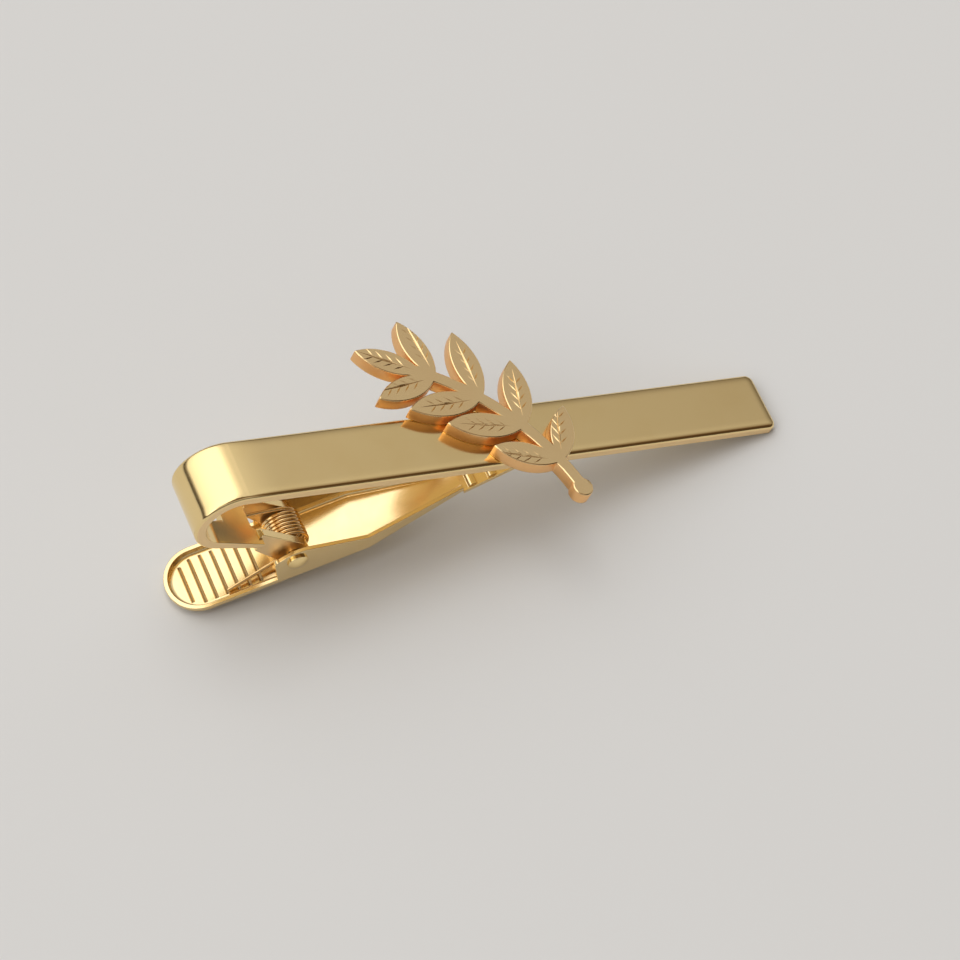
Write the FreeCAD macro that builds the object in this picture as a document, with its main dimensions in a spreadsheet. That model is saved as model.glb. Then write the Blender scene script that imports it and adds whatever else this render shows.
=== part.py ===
import FreeCAD, Part
import math
import os
import re

import Sketcher

# Tie clip: a strip bent round on itself carries a sprung lever whose jaw closes on the strip's back.
# Pieces are drawn in the bar's frame: origin on the strip's back where the jaw bites, +X to its free end,
# +Z out of its front. At the end the clip is laid down as it rests on a table.
# Lengths are in millimetres and angles in degrees.

SIZES = {
    # front bar
    "bar_length": 58.0,
    "bar_width": 6.0,
    "bar_thickness": 1.0,
    "bend_radius": 3.8,
    "grip_reach": 35.6,
    "tip_corner": 0.7,
    "edge_round": 0.3,
    "leg_angle": 11.5,
    "leg_end": 4.1,
    "leg_tip": 0.7,
    "slot_length": 2.2,
    "slot_width": 1.3,
    "slot_back": 0.5,
    # hinge
    "pin_reach": 8.4,
    "pin_drop": 7.3,
    "pin_radius": 0.6,
    "pin_play": 0.05,
    "head_radius": 0.95,
    "head_side": 0.2,
    "head_rise": 0.5,
    "ear_gap": 3.1,
    "room_round": 0.8,
    "ear_thickness": 0.75,
    "ear_radius": 1.4,
    "ear_lift": 0.4,
    "ear_depth": 2.4,
    "side_play": 0.45,
    # clip lever, in its own frame: along the strip from the pin, and up from the pin
    "closed_angle": 25.6,
    "lever_sheet": 0.4,
    "floor_drop": 2.65,
    "rim_rise": 0.6,
    "pad_reach": 11.45,
    "wall_back": 2.05,
    "shoulder_rise": 0.95,
    "shoulder_round": 0.5,
    "crown_reach": 1.25,
    "crown_rise": 1.2,
    "crown_radius": 3.6,
    "kink_reach": 6.6,
    "kink_drop": 0.8,
    "neck_reach": 16.25,
    "neck_width": 2.6,
    "tip_round": 1.1,
    "grip_play": 0.1,
    "floor_round": 0.4,
    "belly_round": 0.7,
    "groove_first": 9.57,
    "groove_pitch": 1.04,
    "groove_width": 0.36,
    "groove_depth": 0.16,
    "groove_length": 4.6,
    "ridge_first": 1.0,
    "ridge_pitch": 1.9,
    "ridge_radius": 0.5,
    "ridge_rise": 0.25,
    # torsion spring
    "wire": 0.36,
    "coil_radius": 1.6,
    "coil_pitch": 0.78,
    "leg_play": 0.35,
    "hook_radius": 0.45,
    "hook_rise": 1.5,
    "lead": 1.2,
    "rest_reach": 6.4,
    "rest_side": 2.1,
    "rest_play": 0.05,
    # sprig plate
    "sprig_thickness": 1.3,
    "sprig_place": 5.2,
    "sprig_angle": 128.0,
    "sprig_side": 1.2,
    "stem_radius": 21.0,
    "stem_length": 18.8,
    "stem_width": 1.2,
    "knob_radius": 0.95,
    "leaf_first": 3.0,
    "leaf_length": 7.4,
    "leaf_width": 2.7,
    "leaf_angle": 46.0,
    "leaf_pitch": 4.5,
    # how far a cut runs past the metal
    "overrun": 1.0,
}

# Sizes that follow from the ones above.
DERIVED = {
    "bend_x": "bend_radius - grip_reach",
    "bend_z": "bar_thickness - bend_radius",
    "tip_x": "bar_length - grip_reach",
    "pin_x": "bend_x + pin_reach",
    "pin_z": "bend_z - pin_drop",
    "leg_low": "bend_z - bend_radius / cos(leg_angle) - leg_end * tan(leg_angle)",
    "ear_width": "ear_gap + 2 * ear_thickness",
    "lever_width": "ear_width + 2 * (side_play + lever_sheet)",
    "lever_half": "lever_width / 2",
    "inner_half": "lever_half - lever_sheet",
    "rim_drop": "floor_drop - rim_rise",
    "belly_drop": "floor_drop + lever_sheet",
    "grip_u": "-pin_x * cos(closed_angle) - (grip_play + pin_z) * sin(closed_angle)",
    "grip_v": "pin_x * sin(closed_angle) - (grip_play + pin_z) * cos(closed_angle)",
    "tongue_run": "grip_u - neck_reach",
    "tongue_climb": "grip_v + floor_drop",
    "tongue_length": "sqrt(tongue_run ^ 2 + tongue_climb ^ 2)",
}

GROOVES = 7
RIDGES = 4
WIRE_FLATS = 12
LEAF_SHARES = (0.86, 1.0, 1.0, 0.88)
NEAR_SHARE = 0.0001

doc = FreeCAD.newDocument("tie_clip")
sheet = doc.addObject("Spreadsheet::Sheet", "Sizes")
for row, (name, size) in enumerate(list(SIZES.items()) + list(DERIVED.items()), start=1):
    sheet.set(f"A{row}", name)
    sheet.set(f"B{row}", str(size) if name in SIZES else f"={size}")
    sheet.setAlias(f"B{row}", name)
doc.recompute()


def bound(expression):
    """The expression with every size's name turned into a reference to its cell."""
    known = SIZES.keys() | DERIVED.keys()
    return re.sub(r"[a-z_]+", lambda word: f"Sizes.{word[0]}" if word[0] in known else word[0], str(expression))


def size(expression):
    """The present value of an expression in the sheet's names."""
    return float(sheet.evalExpression(bound(expression)))


def vector(x, y, z):
    return FreeCAD.Vector(x, y, z)


def body_named(name):
    body = doc.addObject("PartDesign::Body", name)
    body.Label = name
    return body


def sketch_on(body, name, plane, lift="0"):
    """An empty sketch on one of the body's origin planes, raised along the plane's normal."""
    sketch = body.newObject("Sketcher::SketchObject", name)
    origin = next(item for item in body.Origin.OriginFeatures if item.Role == plane)
    sketch.AttachmentSupport = [(origin, "")]
    sketch.MapMode = "FlatFace"
    sketch.setExpression("AttachmentOffset.Base.z", bound(lift))
    return sketch


def pin_point(sketch, edge, end, x, y):
    """Ties one end of an edge to its two distances from the sketch's origin."""
    for kind, place in (("DistanceX", x), ("DistanceY", y)):
        index = sketch.addConstraint(Sketcher.Constraint(kind, -1, 1, edge, end, size(place)))
        sketch.setExpression(f"Constraints[{index}]", bound(place))


def draw(sketch, corners, arcs=None):
    """A closed outline through corners; arcs maps a corner to the radius and turn of the edge after it."""
    arcs = arcs or {}
    points = [vector(size(x), size(y), 0) for x, y in corners]
    starts, ends = [], []
    for index, here in enumerate(points):
        there = points[(index + 1) % len(points)]
        if index not in arcs:
            edge = sketch.addGeometry(Part.LineSegment(here, there), False)
            starts.append((edge, 1))
            ends.append((edge, 2))
            continue
        radius, turn = arcs[index]
        chord = there - here
        rise = math.sqrt(max(size(radius) ** 2 - (chord.Length / 2) ** 2, 0))
        left = vector(-chord.y, chord.x, 0).normalize()
        centre = (here + there) / 2 + left * (turn * rise)
        first, last = (here, there) if turn > 0 else (there, here)
        begin = math.atan2(first.y - centre.y, first.x - centre.x)
        finish = math.atan2(last.y - centre.y, last.x - centre.x)
        circle = Part.Circle(centre, vector(0, 0, 1), size(radius))
        edge = sketch.addGeometry(Part.ArcOfCircle(circle, begin, finish), False)
        starts.append((edge, 1 if turn > 0 else 2))
        ends.append((edge, 2 if turn > 0 else 1))
        held = sketch.addConstraint(Sketcher.Constraint("Radius", edge, size(radius)))
        sketch.setExpression(f"Constraints[{held}]", bound(radius))
    for index, (x, y) in enumerate(corners):
        sketch.addConstraint(Sketcher.Constraint("Coincident", *ends[index - 1], *starts[index]))
        pin_point(sketch, *starts[index], x, y)
    return sketch


def circle_in(sketch, x, y, radius):
    """A full circle tied to its centre and radius."""
    circle = Part.Circle(vector(size(x), size(y), 0), vector(0, 0, 1), size(radius))
    edge = sketch.addGeometry(circle, False)
    pin_point(sketch, edge, 3, x, y)
    held = sketch.addConstraint(Sketcher.Constraint("Radius", edge, size(radius)))
    sketch.setExpression(f"Constraints[{held}]", bound(radius))
    return sketch


def pad(body, sketch, length, middle=True):
    """Adds the sketch's outline as metal of the given length, half to each side if middle."""
    feature = body.newObject("PartDesign::Pad", sketch.Name + "Pad")
    feature.Profile = sketch
    feature.Midplane = middle
    feature.setExpression("Length", bound(length))
    doc.recompute()
    return feature


def pocket(body, sketch, length, middle=True, upward=False):
    """Cuts the sketch's outline away, and stops if nothing came off."""
    before = body.Shape.Volume
    feature = body.newObject("PartDesign::Pocket", sketch.Name + "Cut")
    feature.Profile = sketch
    feature.Midplane = middle
    feature.Reversed = upward
    feature.setExpression("Length", bound(length))
    doc.recompute()
    if body.Shape.Volume >= before:
        raise RuntimeError(f"{sketch.Name} cut nothing")
    return feature


def rounded(body, name, radius, wanted):
    """Rounds every edge of the body for which wanted(edge) holds."""
    names = [f"Edge{i}" for i, edge in enumerate(body.Shape.Edges, start=1) if wanted(edge)]
    base = body.Tip
    feature = body.newObject("PartDesign::Fillet", name)
    feature.Base = (base, names)
    feature.setExpression("Radius", bound(radius))
    doc.recompute()
    return feature


def close(a, b):
    return abs(a - b) < NEAR_SHARE * size("bar_thickness")


def front_bar():
    """One strip: the front plate, the bend, the return leg and the two ears that hold the pin."""
    body = body_named("front_bar")
    cut = "(bend_radius - bar_thickness)"
    corners = [
        ("tip_x", "bar_thickness"),
        ("bend_x", "bar_thickness"),
        ("bend_x - bend_radius", "bend_z"),
        ("bend_x - bend_radius * sin(leg_angle)", "bend_z - bend_radius * cos(leg_angle)"),
        ("bend_x + leg_end", "leg_low"),
        ("bend_x + leg_end", "leg_low + leg_tip"),
        (f"bend_x - {cut} * sin(leg_angle)", f"bend_z - {cut} * cos(leg_angle)"),
        (f"bend_x - {cut}", "bend_z"),
        ("bend_x", "0"),
        ("tip_x", "0"),
    ]
    arcs = {1: ("bend_radius", 1), 2: ("bend_radius", 1), 6: (cut, -1), 7: (cut, -1)}
    strip = draw(sketch_on(body, "Strip", "XZ_Plane"), corners, arcs)
    pad(body, strip, "bar_width")
    ears(body)
    slot = sketch_on(body, "Slot", "XY_Plane", "bend_z")
    low, high = "-slot_width / 2", "slot_width / 2"
    back, front = "bend_x - slot_back - slot_length / 2", "bend_x - slot_back + slot_length / 2"
    draw(slot, [(back, low), (front, low), (front, high), (back, high)])
    pocket(body, slot, "bend_radius + overrun + leg_end", middle=False)
    tip, face, bend_x = size("tip_x"), size("bar_thickness"), size("bend_x")

    def tip_edge(edge):
        box = edge.BoundBox
        return close(box.XMin, tip) and close(box.XMax, tip) and close(box.YLength, 0)

    rounded(body, "TipCorners", "tip_corner", tip_edge)

    def front_edge(edge):
        box = edge.BoundBox
        if close(box.ZMin, face) and close(box.ZMax, face):
            return not close(box.XMax, bend_x) and box.XLength > 0
        return False

    rounded(body, "FrontEdges", "edge_round", front_edge)
    return body


def ears(body):
    """Two lugs that run down from the return leg's end, one each side of the spring, with the pin's holes."""
    top = "(leg_low + leg_tip + ear_lift)"
    reach, fall = "(pin_reach - leg_end)", f"(pin_z - {top} + ear_depth / 2)"
    along = f"sqrt({reach} ^ 2 + {fall} ^ 2)"
    over_x, over_z = f"ear_radius * {fall} / {along}", f"ear_radius * {reach} / {along}"
    corners = [
        ("bend_x + leg_end - leg_tip", "leg_low + leg_tip / 2"),
        ("bend_x + leg_end", top),
        (f"pin_x - {over_x}", f"pin_z + {over_z}"),
        (f"pin_x + {over_z}", f"pin_z + {over_x}"),
        (f"pin_x + {over_x}", f"pin_z - {over_z}"),
        ("bend_x + leg_end", f"{top} - ear_depth"),
        ("bend_x + leg_end", "leg_low"),
    ]
    lugs = draw(sketch_on(body, "Ears", "XZ_Plane"), corners, {2: ("ear_radius", -1), 3: ("ear_radius", -1)})
    pad(body, lugs, "ear_width")
    room = sketch_on(body, "SpringRoom", "XY_Plane", "bend_z")
    left, right = "bend_x + leg_end - leg_tip", "pin_x + ear_radius + overrun"
    half = "ear_gap / 2"
    corners = [
        (f"{left} + room_round", f"-{half}"),
        (right, f"-{half}"),
        (right, half),
        (f"{left} + room_round", half),
        (left, f"{half} - room_round"),
        (left, f"room_round - {half}"),
    ]
    draw(room, corners, {3: ("room_round", 1), 5: ("room_round", 1)})
    pocket(body, room, "pin_drop + ear_radius + overrun", middle=False)
    hole = circle_in(sketch_on(body, "PinHoles", "XZ_Plane"), "pin_x", "pin_z", "pin_radius + pin_play")
    pocket(body, hole, "ear_width + overrun")


def clip_lever():
    """One stamping: a ribbed thumb tray, side walls that take the pin, and a narrowing arm with a toothed jaw."""
    body = body_named("clip_lever")
    corners = [
        ("-pad_reach", "-belly_drop"),
        ("neck_reach", "-belly_drop"),
        ("neck_reach", "-rim_drop"),
        ("kink_reach", "-kink_drop"),
        ("crown_reach", "crown_rise"),
        ("shoulder_round - wall_back", "shoulder_rise"),
        ("-wall_back", "shoulder_rise - shoulder_round"),
        ("-wall_back", "-rim_drop"),
        ("-pad_reach", "-rim_drop"),
    ]
    arcs = {4: ("crown_radius", 1), 5: ("shoulder_round", 1)}
    pad(body, draw(sketch_on(body, "Side", "XZ_Plane"), corners, arcs), "lever_width")
    plan = sketch_on(body, "Plan", "XY_Plane")
    far, near = "neck_reach + overrun", "-pad_reach - overrun"
    wide = "lever_half + overrun"
    draw(plan, [(near, f"-({wide})"), (far, f"-({wide})"), (far, wide), (near, wide)])
    outline(plan, "lever_half", "neck_reach + overrun / 2", "neck_width / 2")
    pocket(body, plan, "2 * (belly_drop + overrun)")
    belly, floor, neck = size("-belly_drop"), size("-floor_drop"), size("neck_reach")

    def belly_edge(edge):
        box = edge.BoundBox
        return close(box.ZMin, belly) and close(box.ZMax, belly) and not close(box.XMin, neck)

    rounded(body, "Belly", "belly_round", belly_edge)
    hollow = sketch_on(body, "Hollow", "XY_Plane", "-floor_drop")
    outline(hollow, "inner_half", "neck_reach + overrun", "neck_width / 2 - lever_sheet")
    pocket(body, hollow, "floor_drop + crown_rise + overrun", middle=False, upward=True)

    def floor_edge(edge):
        box = edge.BoundBox
        return close(box.ZMin, floor) and close(box.ZMax, floor) and box.XMin < neck - box.YLength

    rounded(body, "FloorBend", "floor_round", floor_edge)
    for index in range(GROOVES):
        groove(body, index)
    jaw(body)
    hole = circle_in(sketch_on(body, "PinHoles", "XZ_Plane"), "0", "0", "pin_radius")
    pocket(body, hole, "lever_width + overrun")
    return body


def outline(sketch, half, end, end_half):
    """The lever in plan: round at the thumb end, straight past the pin, then narrowing to the neck."""
    middle = "lever_half - pad_reach"
    corners = [
        (middle, f"-({half})"),
        ("kink_reach", f"-({half})"),
        ("neck_reach", f"-({end_half})"),
        (end, f"-({end_half})"),
        (end, end_half),
        ("neck_reach", end_half),
        ("kink_reach", half),
        (middle, half),
        (f"{middle} - ({half})", "0"),
    ]
    draw(sketch, corners, {7: (half, 1), 8: (half, 1)})


def groove(body, index):
    """One valley between two ribs of the thumb pad, shorter where the pad's end is round."""
    centre = f"(groove_pitch * {index} - groove_first)"
    past = f"(max(0; lever_half - pad_reach - {centre} + groove_width / 2))"
    length = f"min(groove_length; 2 * sqrt((inner_half - floor_round) ^ 2 - {past} ^ 2))"
    corners = [
        (f"{centre} - groove_width / 2", "-floor_drop"),
        (centre, "-floor_drop - groove_depth"),
        (f"{centre} + groove_width / 2", "-floor_drop"),
    ]
    valley = draw(sketch_on(body, f"Groove{index}", "XZ_Plane"), corners)
    pocket(body, valley, length)


def jaw(body):
    """The tongue past the neck: it climbs to the bar's back, carries cross ridges and has a round end."""
    drop_x = "lever_sheet * tongue_climb / tongue_length"
    drop_z = "lever_sheet * tongue_run / tongue_length"
    corners = [
        ("neck_reach", "-belly_drop"),
        (f"grip_u + {drop_x}", f"grip_v - {drop_z}"),
        ("grip_u", "grip_v"),
        ("neck_reach", "-floor_drop"),
    ]
    pad(body, draw(sketch_on(body, "Tongue", "XZ_Plane"), corners), "neck_width")
    end = size("grip_u - overrun")
    thick = size("lever_sheet")

    def tip_edge(edge):
        box = edge.BoundBox
        return box.XMin > end and close(box.YLength, 0) and close(edge.Length, thick)

    rounded(body, "JawEnd", "tip_round", tip_edge)
    for index in range(RIDGES):
        along = f"(ridge_first + ridge_pitch * {index}) / tongue_length"
        sink = "(ridge_radius - ridge_rise) / tongue_length"
        x = f"neck_reach + tongue_run * {along} + tongue_climb * {sink}"
        z = f"-floor_drop + tongue_climb * {along} - tongue_run * {sink}"
        ridge(body, index, x, z)


def ridge(body, index, x, z):
    """One half-round ridge across the jaw, cut off level with the tongue's underside."""
    half_angle = "acos((ridge_radius - ridge_rise) / ridge_radius)"
    side = f"ridge_radius * sin({half_angle}) / tongue_length"
    level = "(ridge_radius - ridge_rise) / tongue_length"
    ends = []
    for sign in ("-", "+"):
        ends.append((f"{x} {sign} tongue_run * {side} - tongue_climb * {level}",
                     f"{z} {sign} tongue_climb * {side} + tongue_run * {level}"))
    bar = draw(sketch_on(body, f"Ridge{index}", "XZ_Plane"), ends, {1: ("ridge_radius", 1)})
    pad(body, bar, "neck_width - lever_sheet")


def hinge_pin():
    """A rivet through the lever's walls and the bar's ears, with a domed head at each end."""
    body = body_named("hinge_pin")
    dome_rise = "(head_rise - head_side)"
    dome = f"((head_radius ^ 2 + {dome_rise} ^ 2) / (2 * {dome_rise}))"
    corners = [
        ("0", "-lever_half - head_rise"),
        ("head_radius", "-lever_half - head_side"),
        ("head_radius", "-lever_half"),
        ("pin_radius", "-lever_half"),
        ("pin_radius", "lever_half"),
        ("head_radius", "lever_half"),
        ("head_radius", "lever_half + head_side"),
        ("0", "lever_half + head_rise"),
    ]
    half = draw(sketch_on(body, "Half", "XY_Plane"), corners, {0: (dome, 1), 6: (dome, 1)})
    turned = body.newObject("PartDesign::Revolution", "Turned")
    turned.Profile = half
    turned.ReferenceAxis = (half, ["V_Axis"])
    turned.Angle = 360
    return body


def sprig_plate():
    """A cut plate on the bar's front: a laurel sprig, leaves in pairs along a curved stem."""
    body = body_named("sprig_plate")
    stem = sketch_on(body, "Stem", "XY_Plane", "bar_thickness")
    start, end = on_stem("0"), on_stem("stem_length")
    outer, inner = "(stem_radius + stem_width / 2)", "(stem_radius - stem_width / 2)"
    corners = [
        (f"{outer} * sin({start})", f"stem_radius - {outer} * cos({start})"),
        (f"{outer} * sin({end})", f"stem_radius - {outer} * cos({end})"),
        (f"{inner} * sin({end})", f"stem_radius - {inner} * cos({end})"),
        (f"{inner} * sin({start})", f"stem_radius - {inner} * cos({start})"),
    ]
    pad(body, draw(stem, corners, {0: (outer, 1), 2: (inner, -1)}), "sprig_thickness", middle=False)
    knob = sketch_on(body, "Knob", "XY_Plane", "bar_thickness")
    circle_in(knob, f"stem_radius * sin({start})", f"stem_radius * (1 - cos({start}))", "knob_radius")
    pad(body, knob, "sprig_thickness", middle=False)
    for index, share in enumerate(LEAF_SHARES):
        along = f"leaf_first + leaf_pitch * {index}"
        leaf(body, f"LeafLow{index}", along, "-leaf_angle", share)
        leaf(body, f"LeafHigh{index}", along, "leaf_angle", share)
    leaf(body, "LeafTop", "stem_length - stem_width", "0", LEAF_SHARES[-1])
    return body


def on_stem(along):
    """The angle turned by the stem from its middle to a place that far along it."""
    return f"(({along}) - stem_length / 2) / stem_radius * 180 / pi"


def leaf(body, name, along, turn, share):
    """One pointed leaf whose two edges are arcs, growing from the stem at an angle."""
    length, width = f"({share} * leaf_length)", f"({share} * leaf_width)"
    edge = f"(({length} ^ 2 + {width} ^ 2) / (4 * {width}))"
    here = on_stem(along)
    blade = sketch_on(body, name, "XY_Plane", "bar_thickness")
    blade.setExpression("AttachmentOffset.Base.x", bound(f"stem_radius * sin({here})"))
    blade.setExpression("AttachmentOffset.Base.y", bound(f"stem_radius * (1 - cos({here}))"))
    blade.setExpression("AttachmentOffset.Rotation.Angle", bound(f"{here} + ({turn})"))
    draw(blade, [("0", "0"), (length, "0")], {0: (edge, 1), 1: (edge, 1)})
    pad(body, blade, "sprig_thickness", middle=False)


def bent_arc(start, corner, end):
    """The arc from start to end whose tangents meet at the corner, which is equally far from both."""
    middle = (start + end) / 2
    rise = corner - middle
    half = (end - start).Length / 2
    quarter = math.atan2(rise.Length, half) / 2
    top = middle + rise.normalize() * (half * math.tan(quarter))
    return Part.Arc(start, top, end).toShape()


def biarc(start, way_in, end, way_out):
    """Two arcs from start to end that leave and arrive along the given unit directions."""
    span = end - start
    sum_of_ways = way_in + way_out
    spread = 2 * (1 - way_in.dot(way_out))
    reach = span.dot(sum_of_ways)
    length = (math.sqrt(reach ** 2 + spread * span.dot(span)) - reach) / spread
    first, second = start + way_in * length, end - way_out * length
    join = (first + second) / 2
    return [bent_arc(start, first, join), bent_arc(join, second, end)]


def run_with_bends(points, radii):
    """Straight runs through the points, with an arc of the given radius at each inner point."""
    edges, here = [], points[0]
    for index, radius in enumerate(radii, start=1):
        corner = points[index]
        way_in = (corner - points[index - 1]).normalize()
        way_out = (points[index + 1] - corner).normalize()
        length = radius * math.tan(way_in.getAngle(way_out) / 2)
        start, end = corner - way_in * length, corner + way_out * length
        edges.append(Part.LineSegment(here, start).toShape())
        edges.append(bent_arc(start, corner, end))
        here = end
    edges.append(Part.LineSegment(here, points[-1]).toShape())
    return edges


def spring_route():
    """The spring's centre line: hook, leg under the bar, coil round the pin, leg on the thumb pad."""
    radius, pitch, wire = size("coil_radius"), size("coil_pitch"), size("wire")
    centre_x, centre_z = size("pin_x"), size("pin_z")
    tilt = math.radians(size("closed_angle"))
    hook_x = size("bend_x - slot_back")
    leg_face = size("bend_z - bend_radius / cos(leg_angle) + slot_back * tan(leg_angle)")
    under = leg_face - size("leg_play") - wire / 2
    away_x, away_z = hook_x - centre_x, under - centre_z
    reach = math.hypot(away_x, away_z)
    top_angle = math.atan2(away_z, away_x) - math.acos(radius / reach)
    rest_u, rest_v = -size("rest_reach"), -size("floor_drop") + wire / 2 + size("rest_play")
    rest_x = centre_x + rest_u * math.cos(tilt) - rest_v * math.sin(tilt)
    rest_z = centre_z + rest_u * math.sin(tilt) + rest_v * math.cos(tilt)
    low_x, low_z = rest_x - centre_x, rest_z - centre_z
    low_angle = math.atan2(low_z, low_x) + math.acos(radius / math.hypot(low_x, low_z))
    part_turn = (top_angle - low_angle) % (2 * math.pi)
    whole_turns = math.floor((size("ear_gap") - wire) / pitch - part_turn / (2 * math.pi))
    sweep = part_turn + 2 * math.pi * whole_turns
    rise = pitch * sweep / (2 * math.pi)

    def on_coil(share):
        angle = top_angle - sweep * share
        slope = pitch / (2 * math.pi)
        place = vector(centre_x + radius * math.cos(angle), rise / 2 - rise * share,
                       centre_z + radius * math.sin(angle))
        way = vector(radius * math.sin(angle), -slope, -radius * math.cos(angle)).normalize()
        return place, way

    steps = math.ceil(sweep / (math.pi / 2))
    (first, way_first), (last, way_last) = on_coil(0), on_coil(1)
    lead = size("lead")
    hook_top = vector(hook_x, 0, under + size("hook_rise"))
    before, after = first - way_first * lead, last + way_last * lead
    leg = run_with_bends([hook_top, vector(hook_x, 0, under), before, first],
                         [size("hook_radius"), 2 * radius])
    coil = []
    for step in range(steps):
        coil += biarc(*on_coil(step / steps), *on_coil((step + 1) / steps))
    rest = run_with_bends([last, after, vector(rest_x, -size("rest_side"), rest_z)], [2 * radius])
    return Part.Wire(leg + coil + rest), sweep


def least_gap(route, wire):
    """The smallest gap between stretches of the wire that lie more than half a turn apart along it."""
    points = route.discretize(Distance=wire / 4)
    skip = int(math.pi * size("coil_radius") / (wire / 4))
    return min(a.distanceToPoint(b) for i, a in enumerate(points) for b in points[i + skip:]) - wire


def torsion_spring():
    """One unbroken wire coiled round the pin between the ears, drawn in flats, that drives the jaw shut."""
    route, sweep = spring_route()
    wire = size("wire")
    start = route.OrderedVertexes[0].Point
    rim = [2 * math.pi * flat / WIRE_FLATS for flat in range(WIRE_FLATS + 1)]
    ring = Part.makePolygon([start + vector(math.cos(a), math.sin(a), 0) * (wire / 2) for a in rim])
    spring = doc.addObject("Part::Feature", "torsion_spring")
    spring.Label = "torsion_spring"
    spring.Shape = route.makePipeShell([ring], True, False)
    spring.Placement = FreeCAD.Placement()
    print(f"spring: {sweep / (2 * math.pi):.2f} turns, least gap to itself {least_gap(route, wire):.3f} mm")
    print(f"spring: volume {spring.Shape.Volume:.3f}, section times length "
          f"{Part.Face(ring).Area * route.Length:.3f} mm3")
    return spring


def lying_angle():
    """How far the bar slopes when the clip lies on the round of its thumb pad and on the bar's tip."""
    tilt = math.radians(size("closed_angle"))
    heel_u, heel_v = size("belly_round - pad_reach"), size("belly_round - belly_drop")
    heel_x = size("pin_x") + heel_u * math.cos(tilt) - heel_v * math.sin(tilt)
    heel_z = size("pin_z") + heel_u * math.sin(tilt) + heel_v * math.cos(tilt)
    run, climb = size("tip_x") - heel_x, -heel_z
    return math.degrees(math.atan2(climb, run) + math.asin(size("belly_round") / math.hypot(run, climb)))


def placed(turn_axis, turn, x="0", y="0", z="0"):
    """A turn about an axis followed by a move in the bar's frame."""
    return FreeCAD.Placement(vector(size(x), size(y), size(z)), FreeCAD.Rotation(turn_axis, turn))


up, across = vector(0, 0, 1), vector(0, 1, 0)
pieces = {
    front_bar(): placed(across, 0),
    clip_lever(): placed(across, -size("closed_angle"), "pin_x", z="pin_z"),
    hinge_pin(): placed(across, 0, "pin_x", z="pin_z"),
    torsion_spring(): placed(across, 0),
    sprig_plate(): placed(up, size("sprig_angle"), "-sprig_place", "sprig_side"),
}
doc.recompute()

# The clip is laid down as it rests, and its box's bottom centre becomes the origin.
lying = placed(across, lying_angle())
box = FreeCAD.BoundBox()
for piece, own in pieces.items():
    piece.Placement = lying * own
    box.add(piece.Shape.optimalBoundingBox())
shift = FreeCAD.Placement(vector(-box.Center.x, -box.Center.y, -box.ZMin), FreeCAD.Rotation())
for piece, own in pieces.items():
    piece.Placement = shift * lying * own
doc.recompute()
pin_place = shift * lying * placed(across, 0, "pin_x", z="pin_z")
grip_place = shift * lying * placed(across, 0)
print(f"bar slopes {lying_angle():.4f} degrees")
print(f"bar frame's origin at {tuple(round(c, 5) for c in grip_place.Base)} mm")
print(f"pin axis at {tuple(round(c, 5) for c in pin_place.Base)} mm")
print(f"box {box.XLength:.4f} x {box.YLength:.4f} x {box.ZLength:.4f} mm")

for item in doc.Objects:
    if "Invalid" in item.State or "Error" in item.State:
        raise RuntimeError(f"{item.Name} failed: {item.State}")
for piece in pieces:
    if piece.Shape.isNull() or not piece.Shape.isValid():
        raise RuntimeError(f"{piece.Label} has no valid shape")

os.makedirs("parts", exist_ok=True)
for piece in pieces:
    piece.Shape.exportStep(f"parts/{piece.Label}.step")
    print(f"{piece.Label}: {len(piece.Shape.Solids)} solid, {piece.Shape.Volume:.2f} mm3")
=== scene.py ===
import bpy
import bmesh
import math
from mathutils import Matrix, Vector
from mathutils.bvhtree import BVHTree
from mathutils.interpolate import poly_3d_calc


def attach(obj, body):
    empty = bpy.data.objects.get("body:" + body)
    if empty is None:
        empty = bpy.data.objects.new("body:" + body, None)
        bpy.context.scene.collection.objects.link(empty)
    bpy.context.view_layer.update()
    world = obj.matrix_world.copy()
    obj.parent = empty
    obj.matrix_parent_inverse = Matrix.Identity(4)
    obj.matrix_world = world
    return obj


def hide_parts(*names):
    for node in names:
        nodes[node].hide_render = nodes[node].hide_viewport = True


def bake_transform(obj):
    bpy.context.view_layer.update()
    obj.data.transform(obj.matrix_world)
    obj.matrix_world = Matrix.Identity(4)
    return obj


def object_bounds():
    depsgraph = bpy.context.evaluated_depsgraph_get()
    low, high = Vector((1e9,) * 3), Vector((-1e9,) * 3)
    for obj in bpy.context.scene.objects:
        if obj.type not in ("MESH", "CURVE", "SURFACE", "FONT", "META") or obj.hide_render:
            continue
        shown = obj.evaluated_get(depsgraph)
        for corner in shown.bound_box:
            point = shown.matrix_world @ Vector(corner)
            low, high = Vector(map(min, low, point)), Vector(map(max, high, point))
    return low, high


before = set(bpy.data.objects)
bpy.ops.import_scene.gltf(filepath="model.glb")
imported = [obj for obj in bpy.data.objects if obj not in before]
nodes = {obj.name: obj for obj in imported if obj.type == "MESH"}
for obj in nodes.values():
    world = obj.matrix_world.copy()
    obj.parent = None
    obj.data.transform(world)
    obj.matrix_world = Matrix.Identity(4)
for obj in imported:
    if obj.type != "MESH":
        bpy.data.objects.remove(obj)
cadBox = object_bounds()
mm = 0.001
print("frame loaded:", ", ".join(sorted(nodes)))

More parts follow.
